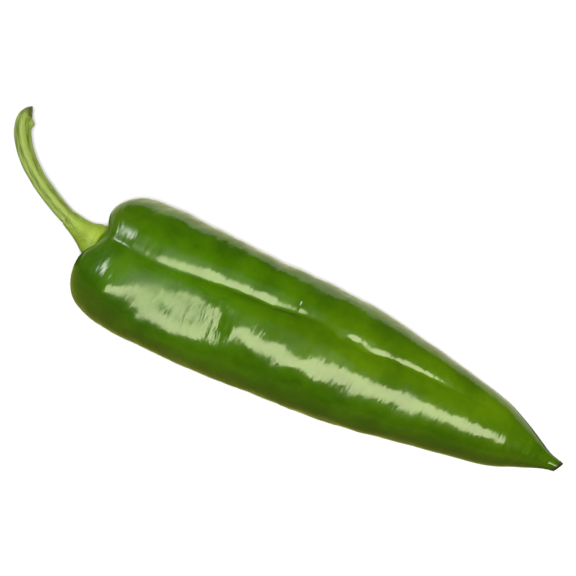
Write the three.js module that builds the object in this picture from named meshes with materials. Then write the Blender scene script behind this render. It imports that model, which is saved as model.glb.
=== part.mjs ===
// A green chilli pepper, as picked, lying on its flatter side. Millimetres, +Z up.
//
// It is three pieces that grew together: the pod, the calyx that sits in the hollow between the
// pod's shoulders, and the curved stem. Each is turned about a straight line and then laid along
// one spine, so pieces that follow each other on the straight line still do once they are bent.
//
// "Along" is the distance on the spine from the level of the shoulders, positive towards the tip and
// negative towards the stem's cut end. "Turn" is the angle from the top, a quarter turn being the -Y side.

import * as THREE from "three";

// Spine
const POD_REACH = 164; // from the shoulders to the tip
const STEM_REACH = 41.4; // from the shoulders back to where the stem hooks
const STEM_SWEEP = 29.2; // of the hook to the side
const HOOK_RADIUS = 2.7; // of the curl at the stem's end
const HOOK_TURN = 62; // degrees that it curls
const TIP_DROP = 11; // of the tip below the shoulders
const SHOULDER_TURN = 9.5; // degrees that the spine is turned by at the shoulders

// Calyx
const CALYX_RADIUS = 6.8;
const CALYX_LENGTH = 11.5; // from the shoulders to the stem
const LIP = 1.1; // thickness of its edge
const GROOVE = 0.5; // depth of the groove behind its edge
const GAP = 0.3; // between each piece and the next

// Stem
const STEM_RADIUS = 2.5;
const STEM_SWELL = 0.25; // added to the radius towards the cut end
const NECK_RADIUS = STEM_RADIUS + 0.4; // of the calyx where the stem starts
const CUT_RADIUS = 2.1; // at the cut end
const CUT_SLANT = 0.35; // of the cut, for each millimetre across it
const NUB = { fromEnd: 4.6, turn: -Math.PI / 2, height: 0.9, size: 1.3 }; // an old leaf's scar
const RIBS = 5; // round the stem and the calyx
const RIB_HEIGHT = 0.14;

// Pod
const POD_WIDTH = 45.6; // across the two lobes at the widest
const POD_THICKNESS = 38; // through the creases at the widest, before they are sunk
const RIM_WIDTH = 2.4; // from the calyx's edge out to the shoulders' crest
const CREST_DROP = 1.9; // of that crest below the level of the shoulders
const CREST_LEAN = 0.4; // more on the -Y lobe and less on the other
const SEAT_DEPTH = 2.6; // of the seat that the calyx's edge lies on
const HOLLOW_DEPTH = 5.6; // of the hollow's floor
const TIP_RADIUS = 1.8; // of the scar at the tip
const TIP_SLANT = 0.48; // of the scar's face, for each millimetre across it
const FLAT_DEPTH = 0.3; // that the resting side is flattened by

// The pod's outline from the shoulders to the tip: share of its length, share of its half width
const OUTLINE = [
  [0.014, 0.74],
  [0.032, 0.87],
  [0.066, 0.955],
  [0.13, 1],
  [0.25, 0.985],
  [0.4, 0.94],
  [0.52, 0.905],
  [0.61, 0.835],
  [0.7, 0.71],
  [0.79, 0.585],
  [0.87, 0.455],
  [0.93, 0.27],
  [0.975, 0.12],
];

// The crease that wanders down the top between the lobes. At each share of the pod's length it gives
// the turn of its bottom, its depth, and the widths of the slopes down from the +Y and -Y lobes.
const TOP_CREASE = [
  { share: 0, turn: 0.08, depth: 1.2, far: 6, near: 8 },
  { share: 0.06, turn: 0.1, depth: 2.6, far: 6, near: 7.5 },
  { share: 0.15, turn: 0.11, depth: 3.3, far: 5.2, near: 7 },
  { share: 0.29, turn: -0.05, depth: 4.7, far: 5, near: 3.6 },
  { share: 0.37, turn: -0.1, depth: 5.3, far: 4.7, near: 3.3 },
  { share: 0.43, turn: -0.14, depth: 3.8, far: 3.8, near: 3 },
  { share: 0.49, turn: -0.13, depth: 1.5, far: 3, near: 4 },
  { share: 0.54, turn: 0.02, depth: 1.3, far: 2.6, near: 4 },
  { share: 0.6, turn: -0.03, depth: 2.3, far: 2.6, near: 4 },
  { share: 0.7, turn: -0.16, depth: 2.5, far: 2.6, near: 4 },
  { share: 0.83, turn: -0.2, depth: 0.5, far: 2.6, near: 4 },
  { share: 1, turn: -0.1, depth: 0, far: 2.6, near: 4 },
];
const CREASE_SHARPNESS = 1.35; // 2 would be a round valley, and 1 a sharp one
const UNDER_CREASE = { turn: Math.PI, depth: 1.3, width: 0.36, end: 0.86 };
const NOTCH_DEPTH = 4.5; // that each crease lowers the shoulders' crest by
const NOTCH_WIDTH = 0.5; // of the top crease's, in turn from its bottom

// Where the -Y lobe is pressed in, or swells where the depth is negative: the share of the pod's length
// and the turn of its middle, its half length along and its half width across
const DENTS = [
  { share: 0.245, turn: 0.65, length: 16, width: 9.5, depth: 3.4 },
  { share: 0, turn: 0.5, length: 12, width: 10, depth: 1.6 },
  { share: 0.095, turn: 0.78, length: 8, width: 8.5, depth: -2.2 },
  { share: 0.165, turn: 0.5, length: 7, width: 8, depth: 1.2 },
  { share: 0.345, turn: 0.6, length: 5.5, width: 7, depth: -1.3 },
  { share: 0.555, turn: -0.07, length: 5, width: 2, depth: 1.3 },
];

// Mesh
const POD_SIDES = 48;
const POD_ROWS = 56;
const STALK_SIDES = 20;
const STEM_ROWS = 26;

const HALF_WIDTH = POD_WIDTH / 2;
const CREST_RADIUS = CALYX_RADIUS + RIM_WIDTH;
const { smoothstep, lerp, clamp, degToRad } = THREE.MathUtils;
const bump = (distance, size, sharpness = 2) => Math.exp(-(Math.abs(distance / size) ** sharpness));
const turnBetween = (a, b) => Math.atan2(Math.sin(a - b), Math.cos(a - b));
const at = (radius, along) => new THREE.Vector2(radius, along);

// An arc that goes on from a point and curls towards +X.
function hook(start, heading, radius, angle) {
  const inward = new THREE.Vector3(heading.y, -heading.x, 0);
  const leaving = heading.clone().multiplyScalar(Math.cos(angle)).addScaledVector(inward, Math.sin(angle));
  const end = start
    .clone()
    .addScaledVector(heading, radius * Math.sin(angle))
    .addScaledVector(inward, radius * (1 - Math.cos(angle)));
  const reach = (4 / 3) * Math.tan(angle / 4) * radius;
  const near = start.clone().addScaledVector(heading, reach);
  return new THREE.CubicBezierCurve3(start, near, end.clone().addScaledVector(leaving, -reach), end);
}

// The spine is two lines that leave the shoulders in opposite directions.
const leave = new THREE.Vector3(1, 0, 0).applyAxisAngle(
  new THREE.Vector3(0, 0, 1),
  -degToRad(SHOULDER_TURN),
);
const podSpine = new THREE.CubicBezierCurve3(
  new THREE.Vector3(),
  leave.clone().multiplyScalar(0.235 * POD_REACH),
  new THREE.Vector3(0.6 * POD_REACH, 0.3, 2),
  new THREE.Vector3(POD_REACH, -0.5, -TIP_DROP),
);
const beforeHook = new THREE.Vector3(-0.925 * STEM_REACH, 0.44 * STEM_SWEEP, 0);
const hookStart = new THREE.Vector3(-STEM_REACH, STEM_SWEEP, 0);
const stemSpine = new THREE.CurvePath();
stemSpine.add(
  new THREE.CubicBezierCurve3(
    new THREE.Vector3(),
    leave.clone().multiplyScalar(-0.26 * STEM_REACH),
    beforeHook,
    hookStart,
  ),
);
stemSpine.add(
  hook(hookStart, hookStart.clone().sub(beforeHook).normalize(), HOOK_RADIUS, degToRad(HOOK_TURN)),
);
const POD_LENGTH = podSpine.getLength();
const STEM_END = -stemSpine.getLength();

// Where a point goes that stands at (side, along, up) on the straight line. Past either end of the
// spine it runs straight on.
function onSpine({ x: side, y: along, z: up }) {
  const [curve, way] = along < 0 ? [stemSpine, -1] : [podSpine, 1];
  const reach = Math.abs(along) / curve.getLength();
  const share = Math.min(reach, 1);
  const tipward = curve.getTangentAt(share).multiplyScalar(way);
  const sideways = new THREE.Vector3(tipward.y, -tipward.x, 0).normalize();
  const upward = new THREE.Vector3().crossVectors(sideways, tipward);
  return curve
    .getPointAt(share)
    .addScaledVector(tipward, way * (reach - share) * curve.getLength())
    .addScaledVector(sideways, side)
    .addScaledVector(upward, up);
}

// A piece is its profile turned about the straight line, shaped by relief, and laid on the spine.
function grow(name, color, profile, sides, relief) {
  const geometry = new THREE.LatheGeometry(profile, sides);
  const places = geometry.attributes.position;
  for (let i = 0; i < places.count; i++) {
    const local = new THREE.Vector3().fromBufferAttribute(places, i);
    relief(local, Math.hypot(local.x, local.z), Math.atan2(local.x, local.z));
    const { x, y, z } = onSpine(local);
    places.setXYZ(i, x, y, z);
  }
  const mesh = new THREE.Mesh(geometry, new THREE.MeshStandardMaterial({ color, roughness: 0.35 }));
  mesh.name = name;
  return mesh;
}

// The hollow that the calyx sits in, as the pod's or, with a lift, as the calyx's own underside.
const hollow = (lift) => [
  at(0, HOLLOW_DEPTH - lift),
  at(CALYX_RADIUS / 2, lerp(SEAT_DEPTH, HOLLOW_DEPTH, 0.8) - lift),
  at(CALYX_RADIUS, SEAT_DEPTH - lift),
];

function podProfile() {
  const outline = OUTLINE.map(([share, width]) => [width * HALF_WIDTH, share * POD_LENGTH, 0]);
  const skin = new THREE.CatmullRomCurve3(
    [
      [CALYX_RADIUS, SEAT_DEPTH, 0],
      [CREST_RADIUS, CREST_DROP, 0],
      [0.58 * HALF_WIDTH, 0.9, 0],
      ...outline,
      [TIP_RADIUS, POD_LENGTH, 0],
    ].map((p) => new THREE.Vector3(...p)),
    false,
    "centripetal",
  );
  const rows = skin.getSpacedPoints(POD_ROWS).map((p) => at(p.x, p.y));
  return [...hollow(0), ...rows.slice(1), at(0, POD_LENGTH)];
}

// The top crease at a share of the pod's length.
function creaseAt(share) {
  const next = Math.max(TOP_CREASE.findIndex((mark) => mark.share >= share), 1);
  const [low, high] = [TOP_CREASE[next - 1], TOP_CREASE[next]];
  const between = (share - low.share) / (high.share - low.share);
  const blend = (name) => lerp(low[name], high[name], between);
  return { turn: blend("turn"), depth: blend("depth"), far: blend("far"), near: blend("near") };
}

// How far the pod's skin is pressed in at a place.
function pressAt(share, radius, turn, outer) {
  const crease = creaseAt(share);
  const away = turnBetween(turn, crease.turn) * radius;
  const reach = share < 0.1 ? Math.sqrt(outer) : 1; // it runs out over the shoulders
  const top = crease.depth * bump(away, away > 0 ? crease.near : crease.far, CREASE_SHARPNESS) * reach;
  const fade = Math.sqrt(outer * (1 - smoothstep(share, 0, UNDER_CREASE.end)));
  const under = UNDER_CREASE.depth * fade * bump(turnBetween(turn, UNDER_CREASE.turn), UNDER_CREASE.width);
  const dents = DENTS.map(
    (dent) =>
      dent.depth *
      bump((share - dent.share) * POD_LENGTH, dent.length) *
      bump(turnBetween(turn, dent.turn) * radius, dent.width),
  );
  return dents.reduce((sum, dent) => sum + outer * dent, top + under);
}

// Presses the pod's creases and dents, notches its shoulders, flattens it, and slants its tip.
function podRelief(local, radius, turn) {
  const along = local.y;
  const share = clamp(along / POD_LENGTH, 0, 1);
  const outer = smoothstep(radius, CALYX_RADIUS, HALF_WIDTH);
  const crest = smoothstep(radius, CALYX_RADIUS, CREST_RADIUS);
  const lean = crest * (1 - smoothstep(radius, CREST_RADIUS, HALF_WIDTH));
  const shoulder = crest * (1 - smoothstep(share, 0, 0.12));
  const top = bump(turnBetween(turn, creaseAt(share).turn), NOTCH_WIDTH);
  const under = bump(turnBetween(turn, UNDER_CREASE.turn), UNDER_CREASE.width);
  const shrink = 1 - pressAt(share, radius, turn, outer) / Math.max(radius, 1);
  local.x *= shrink;
  local.z *= shrink * lerp(1, POD_THICKNESS / POD_WIDTH, outer);
  local.y += CREST_LEAN * lean * Math.sin(turn) + NOTCH_DEPTH * (top + under) * shoulder;
  local.y -= TIP_SLANT * local.x * smoothstep(along, POD_LENGTH - 4, POD_LENGTH);
}

function calyxProfile() {
  const lipTop = SEAT_DEPTH - GAP - LIP;
  const flare = new THREE.CatmullRomCurve3([
    new THREE.Vector3(NECK_RADIUS, -CALYX_LENGTH, 0),
    new THREE.Vector3(NECK_RADIUS + 0.4, -0.7 * CALYX_LENGTH, 0),
    new THREE.Vector3(0.63 * CALYX_RADIUS, -0.38 * CALYX_LENGTH, 0),
    new THREE.Vector3(0.84 * CALYX_RADIUS, -0.08 * CALYX_LENGTH, 0),
    new THREE.Vector3(CALYX_RADIUS - 0.5 - GROOVE, lipTop, 0),
  ]);
  return [
    at(0, -CALYX_LENGTH),
    ...flare.getSpacedPoints(9).map((p) => at(p.x, p.y)),
    at(CALYX_RADIUS - 0.3, lipTop - 0.2),
    at(CALYX_RADIUS, lipTop + LIP / 2),
    ...hollow(GAP).reverse(),
  ];
}

// Raises the ribs that run up the calyx from the stem and die out at its edge.
function calyxRelief(local, radius, turn) {
  const height = RIB_HEIGHT * smoothstep(-local.y, 0, CALYX_LENGTH);
  swell(local, radius, height * Math.cos(RIBS * turn));
}

function stemProfile() {
  const start = -CALYX_LENGTH - GAP;
  const rows = Array.from({ length: STEM_ROWS + 1 }, (_, i) => {
    const share = i / STEM_ROWS;
    const full = STEM_RADIUS + STEM_SWELL * (1 - smoothstep(share, 0.2, 0.7));
    return at(lerp(CUT_RADIUS, full, smoothstep(share, 0, 0.1)), lerp(STEM_END, start, share));
  });
  return [at(0, STEM_END), ...rows, at(0, start)];
}

// Raises the ribs and the nub, and slants the cut.
function stemRelief(local, radius, turn) {
  const fromEnd = local.y - STEM_END;
  const away = Math.hypot(fromEnd - NUB.fromEnd, STEM_RADIUS * turnBetween(turn, NUB.turn));
  swell(local, radius, RIB_HEIGHT * Math.cos(RIBS * turn) + NUB.height * bump(away, NUB.size));
  local.y -= CUT_SLANT * local.x * (1 - smoothstep(fromEnd, 0, 6));
}

// Moves a point out from the line by a height, which counts for less nearer the line.
function swell(local, radius, height) {
  const grown = 1 + (height * smoothstep(radius, 0, CUT_RADIUS)) / Math.max(radius, 1);
  local.x *= grown;
  local.z *= grown;
}

// Sets the part down, flat side on the ground, with the middle of its outline at the origin.
function setDown(group) {
  const box = new THREE.Box3().setFromObject(group);
  const middle = box.getCenter(new THREE.Vector3());
  for (const { geometry } of group.children) {
    geometry.translate(-middle.x, -middle.y, -box.min.z - FLAT_DEPTH);
    const places = geometry.attributes.position;
    for (let i = 0; i < places.count; i++) places.setZ(i, Math.max(places.getZ(i), 0));
    geometry.computeVertexNormals();
  }
}

const group = new THREE.Group();
group.name = "chilli_pepper";
group.add(
  grow("pod", 0x5f8a10, podProfile(), POD_SIDES, podRelief),
  grow("calyx", 0xa0bb4a, calyxProfile(), STALK_SIDES, calyxRelief),
  grow("stem", 0x98a957, stemProfile(), STALK_SIDES, stemRelief),
);
setDown(group);

export default group;
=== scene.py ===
"""A green chilli pepper: a long, waxy, two-lobed pod with a flared calyx and a curved, ribbed stem.

The pepper is grown along one spine, as the solid parts of the frame are. Every piece is a profile
spun about a straight line, shaped by relief and then bent along the spine. "Along" is the distance
on the spine from the level of the shoulders, positive towards the tip. "Turn" is the angle from the
top, a quarter turn being the -Y side. Shapes are worked out in millimetres and laid in metres.
"""
import math
from bisect import bisect
from collections import namedtuple
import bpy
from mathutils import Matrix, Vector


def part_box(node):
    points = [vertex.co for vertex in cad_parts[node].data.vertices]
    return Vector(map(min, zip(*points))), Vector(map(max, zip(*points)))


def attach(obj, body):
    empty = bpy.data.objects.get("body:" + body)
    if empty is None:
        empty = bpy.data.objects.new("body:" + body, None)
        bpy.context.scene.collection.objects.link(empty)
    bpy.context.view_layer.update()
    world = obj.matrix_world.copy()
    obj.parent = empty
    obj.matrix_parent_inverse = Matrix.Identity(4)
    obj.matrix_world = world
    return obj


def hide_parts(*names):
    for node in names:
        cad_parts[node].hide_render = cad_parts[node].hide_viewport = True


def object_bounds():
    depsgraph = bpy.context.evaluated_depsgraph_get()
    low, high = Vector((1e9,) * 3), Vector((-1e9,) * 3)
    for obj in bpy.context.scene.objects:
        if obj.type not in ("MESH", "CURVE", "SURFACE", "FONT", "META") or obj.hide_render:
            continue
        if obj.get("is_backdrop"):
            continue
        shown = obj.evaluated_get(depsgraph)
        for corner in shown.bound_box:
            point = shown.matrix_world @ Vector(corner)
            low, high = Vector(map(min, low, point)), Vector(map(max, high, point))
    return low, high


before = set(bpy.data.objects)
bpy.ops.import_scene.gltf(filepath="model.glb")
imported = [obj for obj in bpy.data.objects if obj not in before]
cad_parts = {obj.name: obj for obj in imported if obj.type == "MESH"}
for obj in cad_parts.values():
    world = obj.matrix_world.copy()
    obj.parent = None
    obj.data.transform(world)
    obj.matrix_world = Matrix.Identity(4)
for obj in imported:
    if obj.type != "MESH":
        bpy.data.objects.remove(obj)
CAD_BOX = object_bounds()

from types import SimpleNamespace

import bmesh
import bpy
from bpy.props import FloatProperty, FloatVectorProperty, IntProperty, PointerProperty
from bpy.types import NodeSocket, Operator, Panel, PropertyGroup
from mathutils import Matrix, Vector, noise
from mathutils.geometry import interpolate_bezier

bl_info = {
    "name": "Chilli pepper",
    "version": (1, 0, 0),
    "blender": (4, 5, 0),
    "location": "View3D > Sidebar > Pepper",
    "description": "Grows a green chilli pepper on its packed frame, with its skin, light and camera",
    "category": "Add Mesh",
}

MM = 0.001
QUARTER = math.pi / 2
FULL = 2 * math.pi


# ---------------------------------------------------------------- sizes and colours


def hex_to_linear(text):
    """The linear colour of an sRGB hex value such as 5f8a10."""

    def linear(level):
        return level / 12.92 if level <= 0.04045 else ((level + 0.055) / 1.055) ** 2.4

    return tuple(linear(int(text[i : i + 2], 16) / 255) for i in (0, 2, 4)) + (1.0,)


def length_of(label, words, value, **limits):
    """A length in metres, given in millimetres."""
    return FloatProperty(name=label, description=words, default=value * MM, unit="LENGTH",
                         precision=4, **limits)


def angle_of(label, words, degrees):
    return FloatProperty(name=label, description=words, default=math.radians(degrees),
                         subtype="ANGLE")


def colour_of(label, words, text):
    return FloatVectorProperty(name=label, description=words, default=hex_to_linear(text),
                               subtype="COLOR", size=4, min=0, max=1)


class PepperSpine(PropertyGroup):
    """The line that the whole pepper grows along."""

    pod_reach: length_of("Pod reach", "From the shoulders to the tip", 164)
    stem_reach: length_of("Stem reach", "From the shoulders back to where the stem hooks", 41.4)
    stem_sweep: length_of("Stem sweep", "How far the hook stands to the side", 29.2)
    tip_drop: length_of("Tip drop", "How far the tip hangs below the shoulders' middle", 11)
    shoulder_turn: angle_of("Shoulder turn", "How far the spine is turned at the shoulders", 9.5)
    hook_radius: length_of("Hook radius", "Of the curl at the stem's end", 2.7)
    hook_turn: angle_of("Hook turn", "How far the stem's end curls", 62)


class PepperPod(PropertyGroup):
    """The fruit."""

    width: length_of("Width", "Across the two lobes at the widest", 45.6)
    thickness: length_of("Thickness", "Through the creases before they are sunk", 38)
    crest_radius: length_of("Crest radius", "From the spine to the shoulders' crest", 9.2)
    crest_drop: length_of("Crest drop", "Of the shoulders' crest below their level", 1.9)
    crest_lean: length_of("Crest lean", "More on the -Y lobe and less on the other", 0.4)
    seat_depth: length_of("Seat depth", "Of the seat of the calyx below the shoulders", 2.6)
    hollow_depth: length_of("Hollow depth", "Of the hollow's floor below the shoulders", 5.6)
    notch_depth: length_of("Notch depth", "That the crease cuts into the shoulders", 4.5)
    tip_radius: length_of("Tip radius", "Of the scar at the tip", 1.8)
    tip_slant: FloatProperty(name="Tip slant", description="Of the scar, for its width", default=0.48)
    flat_depth: length_of("Flat depth", "That the resting side is pressed flat by", 0.3)
    dark: colour_of("Dark green", "The skin where it is deepest", "3a6404")
    mid: colour_of("Mid green", "Most of the skin", "4d7a05")
    light: colour_of("Light green", "The skin where it pales to yellow", "76940a")
    scar: colour_of("Tip scar", "The dried end of the tip", "3b3410")


class PepperCalyx(PropertyGroup):
    """The green cap in the hollow."""

    radius: length_of("Radius", "Of its lip", 6.8)
    length: length_of("Length", "From the shoulders to the stem", 11.5)
    neck_radius: length_of("Neck radius", "Where the stem starts", 2.9)
    lip: length_of("Lip", "Thickness of its edge", 1.1)
    groove: length_of("Groove", "Depth of the groove behind its edge", 0.5)
    gap: length_of("Gap", "Between the cap and the pod", 0.3)
    colour: colour_of("Green", "The cap's yellow green", "a3bf3c")
    deep: colour_of("Deep green", "In its streaks", "89a52c")


class PepperStem(PropertyGroup):
    """The stalk."""

    radius: length_of("Radius", "At the calyx", 2.5)
    swell: length_of("Swell", "Added to the radius towards the cut end", 0.25)
    cut_radius: length_of("Cut radius", "At the cut end", 2.1)
    cut_slant: FloatProperty(name="Cut slant", description="Of the cut, for its width", default=0.35)
    rib: length_of("Rib height", "Of the ridges that run along it", 0.16)
    ribs: IntProperty(name="Ribs", description="Ridges round the stem", default=5, min=3, max=9)
    nub_height: length_of("Nub height", "Of the mark that an old leaf left", 0.9)
    nub_radius: length_of("Nub radius", "From its middle to where it dies out", 1.3)
    nub_place: length_of("Nub place", "From the cut end to the nub", 4.6)
    colour: colour_of("Green", "Its pale green", "a4ba56")
    streak: colour_of("Streaks", "Between its ribs", "62791f")
    cut: colour_of("Cut end", "Dried brown of the cut", "54501a")


def in_millimetres(group):
    """The group's lengths in millimetres, and its other values as they are."""

    def value(prop):
        given = getattr(group, prop.identifier)
        return given / MM if getattr(prop, "unit", "NONE") == "LENGTH" else given

    own = [prop for prop in group.bl_rna.properties if prop.identifier in group.__annotations__]
    return SimpleNamespace(**{prop.identifier: value(prop) for prop in own})


# ---------------------------------------------------------------- shape


# A soft oval spot on the pod: where its middle is, its half length along and half width across in
# millimetres, and how strong it is at the middle.
Spot = namedtuple("Spot", "share turn length width amount")

# The pod's outline from the shoulders to the tip: share of its length, share of its half width
OUTLINE = (
    (0.014, 0.74), (0.032, 0.87), (0.066, 0.955), (0.13, 1), (0.25, 0.985), (0.4, 0.94),
    (0.52, 0.905), (0.61, 0.835), (0.7, 0.71), (0.79, 0.585), (0.87, 0.455), (0.93, 0.27),
    (0.975, 0.12),
)

# The crease that wanders down the top of the pod, with the share of its length first in each pair:
# the turn of its bottom,
CREASE_LINE = (
    (0, 0.08), (0.06, 0.1), (0.15, 0.11), (0.24, 0.01), (0.3, -0.06), (0.38, -0.11), (0.44, -0.14),
    (0.49, -0.13), (0.54, 0.02), (0.58, 0), (0.64, -0.1), (0.7, -0.16), (0.76, -0.2),
    (0.86, -0.2), (1, -0.1),
)
# its depth in millimetres,
CREASE_DEPTH = (
    (0, 1.2), (0.06, 2.6), (0.13, 3.2), (0.2, 3.6), (0.29, 4.7), (0.37, 5.2), (0.42, 4.1),
    (0.47, 2.6), (0.52, 1.5), (0.56, 1.6), (0.6, 2.3), (0.7, 2.5), (0.77, 1.5), (0.83, 0.5),
    (0.9, 0.2), (1, 0),
)
# and the width in millimetres of the slopes down to it from the +Y lobe and from the -Y lobe
FAR_SLOPE = (
    (0, 6), (0.15, 5.2), (0.25, 5.2), (0.35, 4.9), (0.43, 3.8), (0.52, 2.6), (0.8, 2.6), (1, 2),
)
NEAR_SLOPE = (
    (0, 8), (0.06, 7.5), (0.14, 7), (0.2, 6), (0.27, 3.6), (0.43, 3), (0.52, 4), (1, 4),
)
# A slope's section: 1 comes to a sharp fold at the bottom and 2 is a round valley
CREASE_SHARPNESS = 1.35

# The notch that the crease cuts into the shoulders: its width in radians, and the share of the pod's
# length at which it has died out
NOTCH = SimpleNamespace(width=0.5, end=0.12)
# A shallower crease underneath, in the same terms and with its depth in millimetres
UNDER_CREASE = SimpleNamespace(depth=1.3, width=0.36, end=0.86)
# The stretches that turn with the slanted scar at the tip and with the slanted cut of the stem
SCAR_STRETCH, CUT_STRETCH = 4, 6

# Where the flesh is pressed in (positive) or swells (negative), in millimetres
DENTS = (
    Spot(0.245, 0.62, 16, 9.5, 3.4),
    Spot(0, 0.5, 12, 10, 1.6),
    Spot(0.095, 0.78, 8, 8.5, -2.2),
    Spot(0.345, 0.6, 4.5, 7, -1.5),
    Spot(0.555, -0.07, 5, 2, 1.3),
    Spot(0.5, 0.75, 9, 6, -0.3),
    Spot(0.63, 0.7, 7, 5, 0.3),
)

# The uneven flesh: how far it stands in and out, and how far apart its swellings are across and
# along, all in millimetres
UNEVEN_FLESH = ((0.3, 17, 17), (0.42, 9, 7), (0.1, 4, 2.5))

# How uneven the calyx's flare and lip are, and the stem's side and cut, in millimetres
UNEVEN_FLARE, UNEVEN_LIP = 0.22, 0.35
UNEVEN_SIDE, UNEVEN_CUT = 0.12, 0.25

# Where the skin pales to yellow green, from 0 to 1
PALE = (
    Spot(0.02, -0.25, 9, 8, 0.5),
    Spot(0.56, 0.1, 26, 12, 0.6),
    Spot(0.8, -0.2, 26, 16, 0.6),
)

# Where a bloom dulls the wax, from 0 to 1
BLOOM = (
    Spot(0.19, 0.4, 16, 13, 0.9),
    Spot(0.03, 0.1, 10, 30, 0.35),
)

# The calyx's flare from the stem to its lip: share of its length, and share of its radius
CALYX_FLARE = ((0.38, 0.63), (0.08, 0.84))


def smoothstep(value, low, high):
    """0 up to low and 1 from high on, with a smooth rise between them."""
    share = min(max((value - low) / (high - low), 0), 1)
    return share * share * (3 - 2 * share)


def mix(a, b, share):
    return a + (b - a) * share


def turn_between(a, b):
    """The turn from b to a, at most half a turn either way."""
    return math.remainder(a - b, FULL)


def bump(distance, size, sharpness=2):
    """A soft hill, 1 high at its middle and 1/e high at its size."""
    return math.exp(-(abs(distance / size) ** sharpness))


def polar(local):
    """The distance of a point from the straight line, and its turn."""
    return math.hypot(local.x, local.z), math.atan2(local.x, local.z)


def smooth_run(points, step):
    """Points about a step apart on a smooth curve through the given ones."""
    knots = [Vector(point).to_3d() for point in points]
    knots = [2 * knots[0] - knots[1], *knots, 2 * knots[-1] - knots[-2]]
    run = [knots[1]]
    for before, start, end, after in zip(knots, knots[1:], knots[2:], knots[3:]):
        a, b, c = (math.sqrt((q - p).length) for p, q in ((before, start), (start, end), (end, after)))
        leave = (start - before) / a - (end - before) / (a + b) + (end - start) / b
        arrive = (end - start) / b - (after - start) / (b + c) + (after - end) / c
        count = max(2, round((end - start).length / step) + 1)
        run += interpolate_bezier(start, start + leave * b / 3, end - arrive * b / 3, end, count)[1:]
    return [point.to_2d() for point in run]


def level_along(points):
    """The height of a smooth curve over any share of the length."""
    run = smooth_run(points, 0.01)
    shares = [point.x for point in run]

    def level(share):
        i = min(max(bisect(shares, share), 1), len(run) - 1)
        low, high = run[i - 1], run[i]
        return mix(low.y, high.y, min(max((share - low.x) / (high.x - low.x), 0), 1))

    return level


class Curve:
    """Bezier curves end to end, walked by distance. Past its end it runs straight on."""

    def __init__(self, *beziers):
        self.points = [beziers[0][0]]
        for handles in beziers:
            self.points += interpolate_bezier(*handles, 400)[1:]
        self.reached = [0]
        for a, b in zip(self.points, self.points[1:]):
            self.reached.append(self.reached[-1] + (b - a).length)
        self.length = self.reached[-1]

    def heading(self, i):
        low, high = max(i - 1, 0), min(i + 1, len(self.points) - 1)
        return (self.points[high] - self.points[low]).normalized()

    def at(self, distance):
        i = min(max(bisect(self.reached, distance), 1), len(self.points) - 1)
        share = (distance - self.reached[i - 1]) / (self.reached[i] - self.reached[i - 1])
        heading = self.heading(i - 1).lerp(self.heading(i), min(share, 1)).normalized()
        if share > 1:
            return self.points[i] + heading * (distance - self.length), heading
        return self.points[i - 1].lerp(self.points[i], share), heading


class Spine:
    """Two curves that leave the shoulders in opposite directions."""

    def __init__(self, size):
        leave = Matrix.Rotation(-size.shoulder_turn, 3, "Z") @ Vector((1, 0, 0))
        reach, back, sweep = size.pod_reach, size.stem_reach, size.stem_sweep
        shoulders = Vector()
        before_tip, tip = Vector((0.6 * reach, 0.3, 2)), Vector((reach, -0.5, -size.tip_drop))
        self.pod = Curve((shoulders, leave * 0.235 * reach, before_tip, tip))
        before_hook, hook_start = Vector((-0.925 * back, 0.44 * sweep, 0)), Vector((-back, sweep, 0))
        heading = (hook_start - before_hook).normalized()
        hook = self.hook(hook_start, heading, size.hook_radius, size.hook_turn)
        self.stem = Curve((shoulders, leave * -0.26 * back, before_hook, hook_start), hook)

    @staticmethod
    def hook(start, heading, radius, angle):
        """An arc that curls towards +X, as the handles of a Bezier curve."""
        inward = Vector((heading.y, -heading.x, 0))
        reach = 4 / 3 * math.tan(angle / 4) * radius
        end = start + radius * (math.sin(angle) * heading + (1 - math.cos(angle)) * inward)
        leaving = math.cos(angle) * heading + math.sin(angle) * inward
        return start, start + heading * reach, end - leaving * reach, end

    def bend(self, point):
        """Where a point goes that stands at (side, along, up) on the straight line."""
        curve, way = (self.stem, -1) if point.y < 0 else (self.pod, 1)
        middle, heading = curve.at(abs(point.y))
        tipward = heading * way
        sideways = Vector((tipward.y, -tipward.x, 0)).normalized()
        return middle + sideways * point.x + sideways.cross(tipward) * point.z


def hollow(pod, calyx, lift):
    """The hollow that the calyx sits in, or with a lift the calyx's own underside."""
    slope = mix(pod.seat_depth, pod.hollow_depth, 0.8)
    return [(0, pod.hollow_depth - lift), (calyx.radius / 2, slope - lift),
            (calyx.radius, pod.seat_depth - lift)]


def pod_profile(size, step):
    """From the middle of the hollow over the shoulders to the tip, as points (radius, along)."""
    pod, half, length = size.pod, size.pod.width / 2, size.spine.pod.length
    shoulder = (0.58 * half, 0.9)
    skin = [(size.calyx.radius, pod.seat_depth), (pod.crest_radius, pod.crest_drop), shoulder]
    skin += [(width * half, share * length) for share, width in OUTLINE]
    skin += [(pod.tip_radius, length)]
    floor = smooth_run(hollow(pod, size.calyx, 0), 1.5)
    scar = [Vector((0.5 * pod.tip_radius, length)), Vector((0, length))]
    return floor + smooth_run(skin, step)[1:] + scar


def spot_level(spots, share, turn, radius, length):
    """What the spots add up to at one place on the pod."""
    return sum(
        spot.amount
        * bump((share - spot.share) * length, spot.length)
        * bump(turn_between(turn, spot.turn) * radius, spot.width)
        for spot in spots
    )


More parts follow.
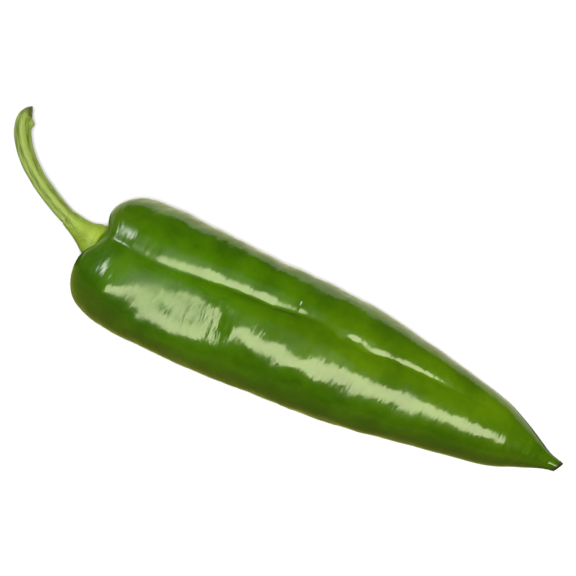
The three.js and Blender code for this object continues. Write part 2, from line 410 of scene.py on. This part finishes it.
def pod_relief(size):
    """The rule that shapes the spun pod: its creases, dents and uneven flesh, and its flatter section."""
    pod, calyx = size.pod, size.calyx
    half, length = pod.width / 2, size.spine.pod.length
    crease_turn, crease_depth = level_along(CREASE_LINE), level_along(CREASE_DEPTH)
    far_slope, near_slope = level_along(FAR_SLOPE), level_along(NEAR_SLOPE)

    def relief(local):
        radius, turn = polar(local)
        share = local.y / length
        outer = smoothstep(radius, calyx.radius, half)
        crest = smoothstep(radius, calyx.radius, pod.crest_radius)
        shoulder = crest * (1 - smoothstep(share, 0, NOTCH.end))
        lean = crest * (1 - smoothstep(radius, pod.crest_radius, half))
        shaped = local.copy()
        shaped.y += pod.crest_lean * lean * math.sin(turn)

        # The crease is shallow in the hollow, and as deep as it is given on the pod's side and tip
        away = turn_between(turn, crease_turn(share)) * max(radius, 1)
        body = math.sqrt(outer) if share < 0.1 else 1
        width = near_slope(share) if away > 0 else far_slope(share)
        press = crease_depth(share) * bump(away, width, CREASE_SHARPNESS) * body
        notch = bump(turn_between(turn, crease_turn(share)), NOTCH.width)
        under = bump(turn_between(turn, math.pi), UNDER_CREASE.width)
        fade = outer * (1 - smoothstep(share, 0, UNDER_CREASE.end))
        press += UNDER_CREASE.depth * under * math.sqrt(fade)
        press += outer * spot_level(DENTS, share, turn, radius, length)
        for depth, across, along in UNEVEN_FLESH:
            place = Vector((local.x / across, local.y / along, local.z / across))
            press += outer * depth * noise.noise(place)
        shrink = 1 - press / max(radius, 1)
        shaped.x *= shrink
        shaped.z *= shrink
        shaped.y += pod.notch_depth * (notch + under) * shoulder
        shaped.z *= mix(1, pod.thickness / pod.width, outer)
        shaped.y -= pod.tip_slant * shaped.x * smoothstep(local.y, length - SCAR_STRETCH, length)
        return shaped

    return relief


def calyx_profile(size):
    """From the end of the neck over the flare and round the lip to the underside's middle."""
    calyx, pod = size.calyx, size.pod
    top = pod.seat_depth - calyx.gap - calyx.lip
    neck_end = -calyx.length - 0.6
    flare = smooth_run(
        [
            (size.stem.radius + 0.05, neck_end),
            (calyx.neck_radius, -0.95 * calyx.length),
            (calyx.neck_radius + 0.4, -0.7 * calyx.length),
            *((width * calyx.radius, -share * calyx.length) for share, width in CALYX_FLARE),
            (calyx.radius - 0.5 - calyx.groove, top),
            (calyx.radius - 0.25, top - 0.25),
            (calyx.radius, top + calyx.lip / 2),
            (calyx.radius - 0.2, top + calyx.lip),
        ],
        0.5,
    )
    under = hollow(pod, calyx, calyx.gap)[:2]
    return [Vector((0, neck_end)), *flare, *(Vector(point) for point in reversed(under))]


def calyx_relief(size):
    """The rule that raises the cap's ribs, which run up from the stem and die out at its edge."""
    calyx, stem = size.calyx, size.stem

    def relief(local):
        radius, turn = polar(local)
        up = smoothstep(-local.y, 0, calyx.length)
        flare = smoothstep(radius, calyx.neck_radius, calyx.radius)
        height = stem.rib * up * math.cos(stem.ribs * turn)
        around = Vector((math.sin(turn), math.cos(turn), local.y / 6)) * 2.2
        height += UNEVEN_FLARE * flare * noise.noise(around)
        height *= smoothstep(radius, 0, stem.radius)
        grown = 1 + height / max(radius, 1)
        waved = UNEVEN_LIP * flare * noise.noise(local / 4)
        return Vector((local.x * grown, local.y + waved, local.z * grown))

    return relief


def stem_profile(size, step):
    """From the middle of the cut end to where the stem meets the calyx."""
    stem, calyx = size.stem, size.calyx
    end, start = -size.spine.stem.length, 1.5 - calyx.length
    profile = [Vector((share * stem.cut_radius, end)) for share in (0, 0.6, 0.93)]
    rows = round((start - end) / step)
    for row in range(rows + 1):
        share = row / rows
        full = stem.radius + stem.swell * (1 - smoothstep(share, 0.2, 0.7))
        along = mix(end, start, share) + (0.15 if row == 0 else 0)
        profile.append(Vector((mix(stem.cut_radius, full, smoothstep(share, 0, 0.1)), along)))
    return profile + [Vector((0, start))]


def stem_relief(size):
    """The rule that raises the ribs and an old leaf's nub, and slants the cut."""
    stem, end = size.stem, -size.spine.stem.length

    def relief(local):
        radius, turn = polar(local)
        from_end = local.y - end
        full = smoothstep(radius, 0, stem.cut_radius)
        away = math.hypot(from_end - stem.nub_place, stem.radius * turn_between(turn, -QUARTER))
        height = stem.rib * math.cos(stem.ribs * turn + 0.3 * math.sin(local.y / 7))
        height += stem.nub_height * bump(away, stem.nub_radius)
        height += UNEVEN_SIDE * noise.noise(Vector((local.x / 1.5, local.y / 5, local.z / 1.5)))
        grown = 1 + height * full / max(radius, 1)
        near_cut = 1 - smoothstep(from_end, 0, CUT_STRETCH)
        slant = -stem.cut_slant * local.x * near_cut
        rough = UNEVEN_CUT * (1 - smoothstep(from_end, 0, 1)) * noise.noise(local * 1.3)
        return Vector((local.x * grown, local.y + slant + rough, local.z * grown))

    return relief


def spun(profile, sides):
    """A closed skin: a profile from axis to axis, spun about the straight line."""
    bm = bmesh.new()
    verts = [bm.verts.new((0, point.y, point.x)) for point in profile]
    edges = [bm.edges.new(pair) for pair in zip(verts, verts[1:])]
    bmesh.ops.spin(bm, geom=verts + edges, cent=(0, 0, 0), axis=(0, 1, 0), dvec=(0, 0, 0),
                   angle=FULL, steps=sides, use_merge=True)
    bmesh.ops.remove_doubles(bm, verts=bm.verts, dist=1e-4)
    bmesh.ops.recalc_face_normals(bm, faces=bm.faces)
    return bm


def settings(scene):
    """Every size in millimetres, with the spine they make."""
    groups = {"pod": scene.pepper_pod, "calyx": scene.pepper_calyx, "stem": scene.pepper_stem}
    size = SimpleNamespace(**{name: in_millimetres(group) for name, group in groups.items()})
    size.spine = Spine(in_millimetres(scene.pepper_spine))
    return size


def place_in_frame(size):
    """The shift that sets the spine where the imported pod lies, its flat side on the ground.

    It is measured on a coarse copy of the pod."""
    bm = spun(pod_profile(size, 3), 48)
    relief = pod_relief(size)
    grown = [size.spine.bend(relief(vert.co)) for vert in bm.verts]
    bm.free()
    low = [min(point[axis] for point in grown) for axis in range(3)]
    high = [max(point[axis] for point in grown) for axis in range(3)]
    packed_low, packed_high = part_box("pod")
    shift = [(packed_low[axis] + packed_high[axis]) / 2 / MM - (low[axis] + high[axis]) / 2
             for axis in range(2)]
    return Vector((*shift, packed_low[2] / MM - low[2] - size.pod.flat_depth))


def grow(name, node, bm, relief, size, material, tints=None, subdivided=True):
    """Shapes a spun skin, bends it along the spine, and makes it the piece that stands for a node.

    Tints gives the name of each attribute that the material reads and the rule for its level."""
    shift, ground = place_in_frame(size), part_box("pod")[0][2] / MM
    unbent = bm.verts.layers.float_vector.new("unbent")
    levels = [(bm.verts.layers.float.new(key), level) for key, level in (tints or {}).items()]
    for vert in bm.verts:
        local = vert.co.copy()
        vert[unbent] = local
        for layer, level in levels:
            vert[layer] = level(local)
        place = size.spine.bend(relief(local)) + shift
        place.z = max(place.z, ground)
        vert.co = place * MM
    mesh = bpy.data.meshes.new(name)
    bm.to_mesh(mesh)
    bm.free()
    mesh.shade_smooth()
    mesh.materials.append(material)
    piece = bpy.data.objects.new(name, mesh)
    bpy.context.scene.collection.objects.link(piece)
    if subdivided:
        smoothing = piece.modifiers.new("Smooth skin", "SUBSURF")
        smoothing.levels = 1
        smoothing.render_levels = 1
    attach(piece, "root")
    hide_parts(node)
    return piece


# ---------------------------------------------------------------- materials


def add_node(tree, kind, inputs=None, **values):
    """Adds a node, with its settings, and sets or links each input that is named."""
    node = tree.nodes.new(kind)
    for name, value in values.items():
        setattr(node, name, value)
    for name, value in (inputs or {}).items():
        if isinstance(value, NodeSocket):
            tree.links.new(value, node.inputs[name])
        else:
            node.inputs[name].default_value = value
    return node


def new_material(name):
    """An empty material, and its node tree."""
    material = bpy.data.materials.new(name)
    material.use_nodes = True
    material.node_tree.nodes.clear()
    return material, material.node_tree


def waxed_pod_skin(pod, length):
    """Ripe green fruit skin under a thin clear wax: glossy, faintly rippled across, and mottled."""
    material, tree = new_material("waxed_pod_skin")
    place = add_node(tree, "ShaderNodeAttribute", attribute_name="unbent")
    pale = add_node(tree, "ShaderNodeAttribute", attribute_name="pale")

    # Broad mottling, about 14 mm across, which also breaks up the spots where the skin pales
    clouds = add_node(tree, "ShaderNodeTexNoise", {"Vector": place.outputs["Vector"], "Scale": 1 / 14,
                                                   "Detail": 3.0, "Roughness": 0.55})
    depth = add_node(tree, "ShaderNodeMapRange", {"Value": clouds.outputs["Fac"], "From Min": 0.3,
                                                  "From Max": 0.7}, interpolation_type="SMOOTHSTEP")
    green = add_node(tree, "ShaderNodeMix", {0: depth.outputs["Result"], 6: pod.dark, 7: pod.mid},
                     data_type="RGBA")
    paling = add_node(tree, "ShaderNodeMath", {0: pale.outputs["Fac"], 1: clouds.outputs["Fac"]},
                      operation="MULTIPLY", use_clamp=True)
    paled = add_node(tree, "ShaderNodeMix", {0: paling.outputs["Value"], 6: green.outputs[2],
                                             7: pod.light}, data_type="RGBA")
    # The last millimetre has dried
    parts = add_node(tree, "ShaderNodeSeparateXYZ", {"Vector": place.outputs["Vector"]})
    dried = add_node(tree, "ShaderNodeMapRange", {"Value": parts.outputs["Y"], "From Min": length - 1.6,
                                                  "From Max": length - 0.2})
    colour = add_node(tree, "ShaderNodeMix", {0: dried.outputs["Result"], 6: paled.outputs[2],
                                              7: pod.scar}, data_type="RGBA")
    # Ripples 2.4 mm apart along the pod and drawn out to 8 mm around it
    stretch = add_node(tree, "ShaderNodeVectorMath", {0: place.outputs["Vector"],
                                                      1: (1 / 8, 1 / 2.4, 1 / 8)},
                       operation="MULTIPLY")
    ripples = add_node(tree, "ShaderNodeTexNoise", {"Vector": stretch.outputs["Vector"], "Scale": 1.0,
                                                    "Detail": 2.0, "Roughness": 0.55})
    raised = add_node(tree, "ShaderNodeBump", {"Height": ripples.outputs["Fac"], "Strength": 1.0,
                                               "Distance": 0.28 * MM})
    # The wax is clear in some places and duller in others, most of all under the bloom and on the scar
    wear = add_node(tree, "ShaderNodeTexNoise", {"Vector": place.outputs["Vector"], "Scale": 1 / 9,
                                                 "Detail": 2.0})
    clean = add_node(tree, "ShaderNodeMapRange", {"Value": wear.outputs["Fac"], "From Min": 0.3,
                                                  "From Max": 0.7, "To Min": 0.12,
                                                  "To Max": 0.22})
    bloom = add_node(tree, "ShaderNodeAttribute", attribute_name="bloom")
    dull = add_node(tree, "ShaderNodeMath", {0: bloom.outputs["Fac"], 1: dried.outputs["Result"]},
                    operation="MAXIMUM")
    gloss = add_node(tree, "ShaderNodeMath", {0: dull.outputs["Value"], 1: 0.17,
                                              2: clean.outputs["Result"]}, operation="MULTIPLY_ADD")
    skin = add_node(tree, "ShaderNodeBsdfPrincipled",
                    {"Base Color": colour.outputs[2], "Roughness": gloss.outputs["Value"],
                     "Normal": raised.outputs["Normal"], "IOR": 1.45})
    add_node(tree, "ShaderNodeOutputMaterial", {"Surface": skin.outputs["BSDF"]})
    return material


def stalk_flesh(name, calyx, stem, length):
    """Fibrous plant stalk, grown ribbed: satin, yellower towards the pod, streaked and dried at its cut.

    The calyx and the stem share it, so that one runs into the other."""
    material, tree = new_material(name)
    place = add_node(tree, "ShaderNodeAttribute", attribute_name="unbent")
    parts = add_node(tree, "ShaderNodeSeparateXYZ", {"Vector": place.outputs["Vector"]})
    turn = add_node(tree, "ShaderNodeMath", {0: parts.outputs["X"], 1: parts.outputs["Z"]},
                    operation="ARCTAN2")
    # Fibres 0.3 mm apart, drawn out to 6 mm along the stalk, and fewer of them on the ribs
    stretch = add_node(tree, "ShaderNodeVectorMath", {0: place.outputs["Vector"], 1: (3, 1 / 6, 3)},
                       operation="MULTIPLY")
    fibres = add_node(tree, "ShaderNodeTexNoise", {"Vector": stretch.outputs["Vector"], "Scale": 1.0,
                                                   "Detail": 3.0, "Roughness": 0.6})
    phase = add_node(tree, "ShaderNodeMath", {0: turn.outputs["Value"], 1: float(stem.ribs)},
                     operation="MULTIPLY")
    crest = add_node(tree, "ShaderNodeMath", {0: phase.outputs["Value"]}, operation="COSINE")
    mixed = add_node(tree, "ShaderNodeMath", {0: crest.outputs["Value"], 1: -0.12,
                                              2: fibres.outputs["Fac"]}, operation="MULTIPLY_ADD")
    shade = add_node(tree, "ShaderNodeMapRange", {"Value": mixed.outputs["Value"], "From Min": 0.45,
                                                  "From Max": 0.72}, interpolation_type="SMOOTHSTEP")
    # The stem's green turns to the calyx's between 14 and 5 mm from the shoulders
    neck = add_node(tree, "ShaderNodeMapRange", {"Value": parts.outputs["Y"], "From Min": -14.0,
                                                 "From Max": -5.0}, interpolation_type="SMOOTHSTEP")
    pale = add_node(tree, "ShaderNodeMix", {0: neck.outputs["Result"], 6: stem.colour, 7: calyx.colour},
                    data_type="RGBA")
    deep = add_node(tree, "ShaderNodeMix", {0: neck.outputs["Result"], 6: stem.streak, 7: calyx.deep},
                    data_type="RGBA")
    green = add_node(tree, "ShaderNodeMix", {0: shade.outputs["Result"], 6: pale.outputs[2],
                                             7: deep.outputs[2]}, data_type="RGBA")
    # The last few millimetres have dried
    dried = add_node(tree, "ShaderNodeMapRange", {"Value": parts.outputs["Y"], "From Min": 3 - length,
                                                  "From Max": 0.4 - length}, interpolation_type="SMOOTHSTEP")
    colour = add_node(tree, "ShaderNodeMix", {0: dried.outputs["Result"], 6: green.outputs[2], 7: stem.cut},
                      data_type="RGBA")
    raised = add_node(tree, "ShaderNodeBump", {"Height": fibres.outputs["Fac"], "Strength": 1.0,
                                               "Distance": 0.15 * MM})
    flesh = add_node(tree, "ShaderNodeBsdfPrincipled",
                     {"Base Color": colour.outputs[2], "Roughness": 0.5, "IOR": 1.4,
                      "Normal": raised.outputs["Normal"]})
    add_node(tree, "ShaderNodeOutputMaterial", {"Surface": flesh.outputs["BSDF"]})
    return material


def white_card():
    """Smooth pressed card, matt white, that the pepper is laid on."""
    material, tree = new_material("white_card")
    card = add_node(tree, "ShaderNodeBsdfPrincipled", {"Base Color": hex_to_linear("f2f2f2"),
                                                       "Roughness": 0.9})
    add_node(tree, "ShaderNodeOutputMaterial", {"Surface": card.outputs["BSDF"]})
    return material


# ---------------------------------------------------------------- stage


# The camera stands this way from the pepper, in degrees, and looks at this point in it, in metres
VIEW_AZIMUTH, VIEW_ELEVATION = -63.5, 65
VIEW_TARGET = (0.00187, 0.009, 0.01646)
VIEW_LENS = 196

# How far the softboxes stand off, and how far the glow spreads along and away from the pepper
LAMP_DISTANCE = 1.2
GLOW_SPREAD = (1.2, 0.6)
WHITE = (1, 1, 1)
WARM = (1, 1, 0.66)
LEAF_GREEN = (0.9, 1, 0.15)
DIM_ROOM = (0.03, 0.03, 0.008, 1)


def direction(azimuth, elevation):
    """The direction that lies at an azimuth from +X and an elevation, in degrees."""
    flat = math.cos(math.radians(elevation))
    return Vector((flat * math.cos(math.radians(azimuth)), flat * math.sin(math.radians(azimuth)),
                   math.sin(math.radians(elevation))))


def softbox(name, place, facing, width, height, radiance, colour):
    """A soft rectangular light, whose back is turned towards the given direction."""
    light = bpy.data.lights.new(name, "AREA")
    light.shape = "RECTANGLE"
    light.size = width
    light.size_y = height
    light.color = colour
    light.energy = radiance * math.pi * width * height
    lamp = bpy.data.objects.new(name, light)
    turned = facing.to_track_quat("Z", "Y").to_matrix().to_4x4()
    lamp.matrix_world = Matrix.Translation(place) @ turned
    lamp.visible_camera = False
    bpy.context.scene.collection.objects.link(lamp)
    return lamp


def light_linked(lamp, floor, state):
    """Keeps a lamp off the floor (EXCLUDE) or to the floor alone (INCLUDE)."""
    receivers = bpy.data.collections.new(lamp.name + "_floor")
    receivers.objects.link(floor)
    lamp.light_linking.receiver_collection = receivers
    receivers.collection_objects[0].light_linking.link_state = state


def lay_floor():
    """A white card just under the pepper, which the pepper neither mirrors nor is lit by."""
    bm = bmesh.new()
    bmesh.ops.create_grid(bm, x_segments=1, y_segments=1, size=3)
    bmesh.ops.translate(bm, verts=bm.verts, vec=(0, 0, CAD_BOX[0][2] - 0.05 * MM))
    mesh = bpy.data.meshes.new("floor_card")
    bm.to_mesh(mesh)
    bm.free()
    mesh.materials.append(white_card())
    floor = bpy.data.objects.new("floor_card", mesh)
    floor.visible_glossy = False
    floor.visible_diffuse = False
    bpy.context.scene.collection.objects.link(floor)
    floor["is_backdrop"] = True
    return floor


def hang_lights(floor):
    """Softboxes round the pepper, two that light the card alone, and a glow before and behind it."""
    low, high = (Vector(corner) for corner in CAD_BOX)
    pod_low, pod_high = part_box("pod")

    def hung(name, azimuth, elevation, width, height, radiance, colour=WHITE):
        away = direction(azimuth, elevation)
        place = (low + high) / 2 + LAMP_DISTANCE * away
        return softbox(name, place, away, width, height, radiance, colour)

    def glowing(name, side, radiance, colour):
        place, down = Vector((0, side, low.z + MM)), Vector((0, 0, -1))
        glow = softbox(name, place, down, *GLOW_SPREAD, radiance, colour)
        glow.visible_diffuse = False
        light_linked(glow, floor, "EXCLUDE")

    front = hung("front_softbox", -73, 52, 1.9, 0.62, 12, WARM)
    front.visible_diffuse = False
    light_linked(front, floor, "EXCLUDE")
    top = hung("top_softbox", -90, 81, 0.7, 0.7, 10.5)
    top.visible_glossy = False
    light_linked(top, floor, "EXCLUDE")
    light_linked(hung("floor_front", VIEW_AZIMUTH, VIEW_ELEVATION, 0.14, 0.14, 340), floor, "INCLUDE")
    light_linked(hung("floor_side", 165, 50, 0.3, 0.3, 9), floor, "INCLUDE")
    hung("left_softbox", 178, 41, 0.36, 0.36, 15).visible_diffuse = False
    glowing("back_bounce", pod_high[1] + 0.3, 1.1, WARM)
    glowing("front_bounce", pod_low[1] - 0.28, 0.5, LEAF_GREEN)

    world = bpy.data.worlds.new("studio")
    world.use_nodes = True
    world.node_tree.nodes["Background"].inputs["Color"].default_value = DIM_ROOM
    bpy.context.scene.world = world


def set_camera():
    """A long lens a metre away, so that the pepper's near and far ends show at one scale."""
    lens = bpy.data.cameras.new("camera")
    lens.sensor_width = 36
    lens.lens = VIEW_LENS
    camera = bpy.data.objects.new("camera", lens)
    away = direction(VIEW_AZIMUTH, VIEW_ELEVATION)
    turned = away.to_track_quat("Z", "Y").to_matrix().to_4x4()
    camera.matrix_world = Matrix.Translation(Vector(VIEW_TARGET) + away) @ turned
    bpy.context.scene.collection.objects.link(camera)
    bpy.context.scene.camera = camera
    bpy.context.scene.view_settings.view_transform = "Standard"


# ---------------------------------------------------------------- the add-on


class PEPPER_OT_pod(Operator):
    """Grow the pod"""

    bl_idname = "pepper.pod"
    bl_label = "Grow the pod"

    def execute(self, context):
        size = settings(context.scene)
        length = size.spine.pod.length

        def covered(spots):
            """The rule for how much of the spots lies at one place."""

            def level(local):
                radius, turn = polar(local)
                return min(spot_level(spots, local.y / length, turn, radius, length), 1)

            return level

        skin = waxed_pod_skin(context.scene.pepper_pod, length)
        tints = {"pale": covered(PALE), "bloom": covered(BLOOM)}
        grow("pod_skin", "pod", spun(pod_profile(size, 0.5), 220), pod_relief(size),
             size, skin, tints, subdivided=False)
        return {"FINISHED"}


class PEPPER_OT_calyx(Operator):
    """Grow the calyx"""

    bl_idname = "pepper.calyx"
    bl_label = "Grow the calyx"

    def execute(self, context):
        size = settings(context.scene)
        flesh = stalk_flesh("calyx_flesh", size.calyx, size.stem, size.spine.stem.length)
        grow("calyx_cap", "calyx", spun(calyx_profile(size), 64), calyx_relief(size),
             size, flesh)
        return {"FINISHED"}


class PEPPER_OT_stem(Operator):
    """Grow the stem"""

    bl_idname = "pepper.stem"
    bl_label = "Grow the stem"

    def execute(self, context):
        size = settings(context.scene)
        flesh = stalk_flesh("stem_flesh", size.calyx, size.stem, size.spine.stem.length)
        grow("stem_stalk", "stem", spun(stem_profile(size, 0.6), 48),
             stem_relief(size), size, flesh)
        return {"FINISHED"}


class PEPPER_OT_stage(Operator):
    """Lay the floor, hang the lights and set the camera"""

    bl_idname = "pepper.stage"
    bl_label = "Set the stage"

    def execute(self, context):
        hang_lights(lay_floor())
        set_camera()
        return {"FINISHED"}


class PEPPER_PT_sidebar(Panel):
    """The pepper's sizes and the steps that make it"""

    bl_label = "Chilli pepper"
    bl_space_type = "VIEW_3D"
    bl_region_type = "UI"
    bl_category = "Pepper"

    def draw(self, context):
        for step in OPERATORS:
            self.layout.operator(step.bl_idname)
        for group in (context.scene.pepper_spine, context.scene.pepper_pod,
                      context.scene.pepper_calyx, context.scene.pepper_stem):
            box = self.layout.box()
            for name in group.__annotations__:
                box.prop(group, name)


GROUPS = {"pepper_spine": PepperSpine, "pepper_pod": PepperPod, "pepper_calyx": PepperCalyx,
          "pepper_stem": PepperStem}
OPERATORS = (PEPPER_OT_pod, PEPPER_OT_calyx, PEPPER_OT_stem, PEPPER_OT_stage)
CLASSES = (*GROUPS.values(), *OPERATORS, PEPPER_PT_sidebar)


def register():
    for kind in CLASSES:
        bpy.utils.register_class(kind)
    for name, kind in GROUPS.items():
        setattr(bpy.types.Scene, name, PointerProperty(type=kind))


def unregister():
    for name in GROUPS:
        delattr(bpy.types.Scene, name)
    for kind in reversed(CLASSES):
        bpy.utils.unregister_class(kind)


def main():
    register()
    bpy.ops.pepper.pod()
    bpy.ops.pepper.calyx()
    bpy.ops.pepper.stem()
    bpy.ops.pepper.stage()
    bpy.context.view_layer.update()
    boxes = {"cad": CAD_BOX, "visual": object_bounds()}
    {name: [list(corner) for corner in box] for name, box in boxes.items()}


if __name__ == "__main__":
    main()
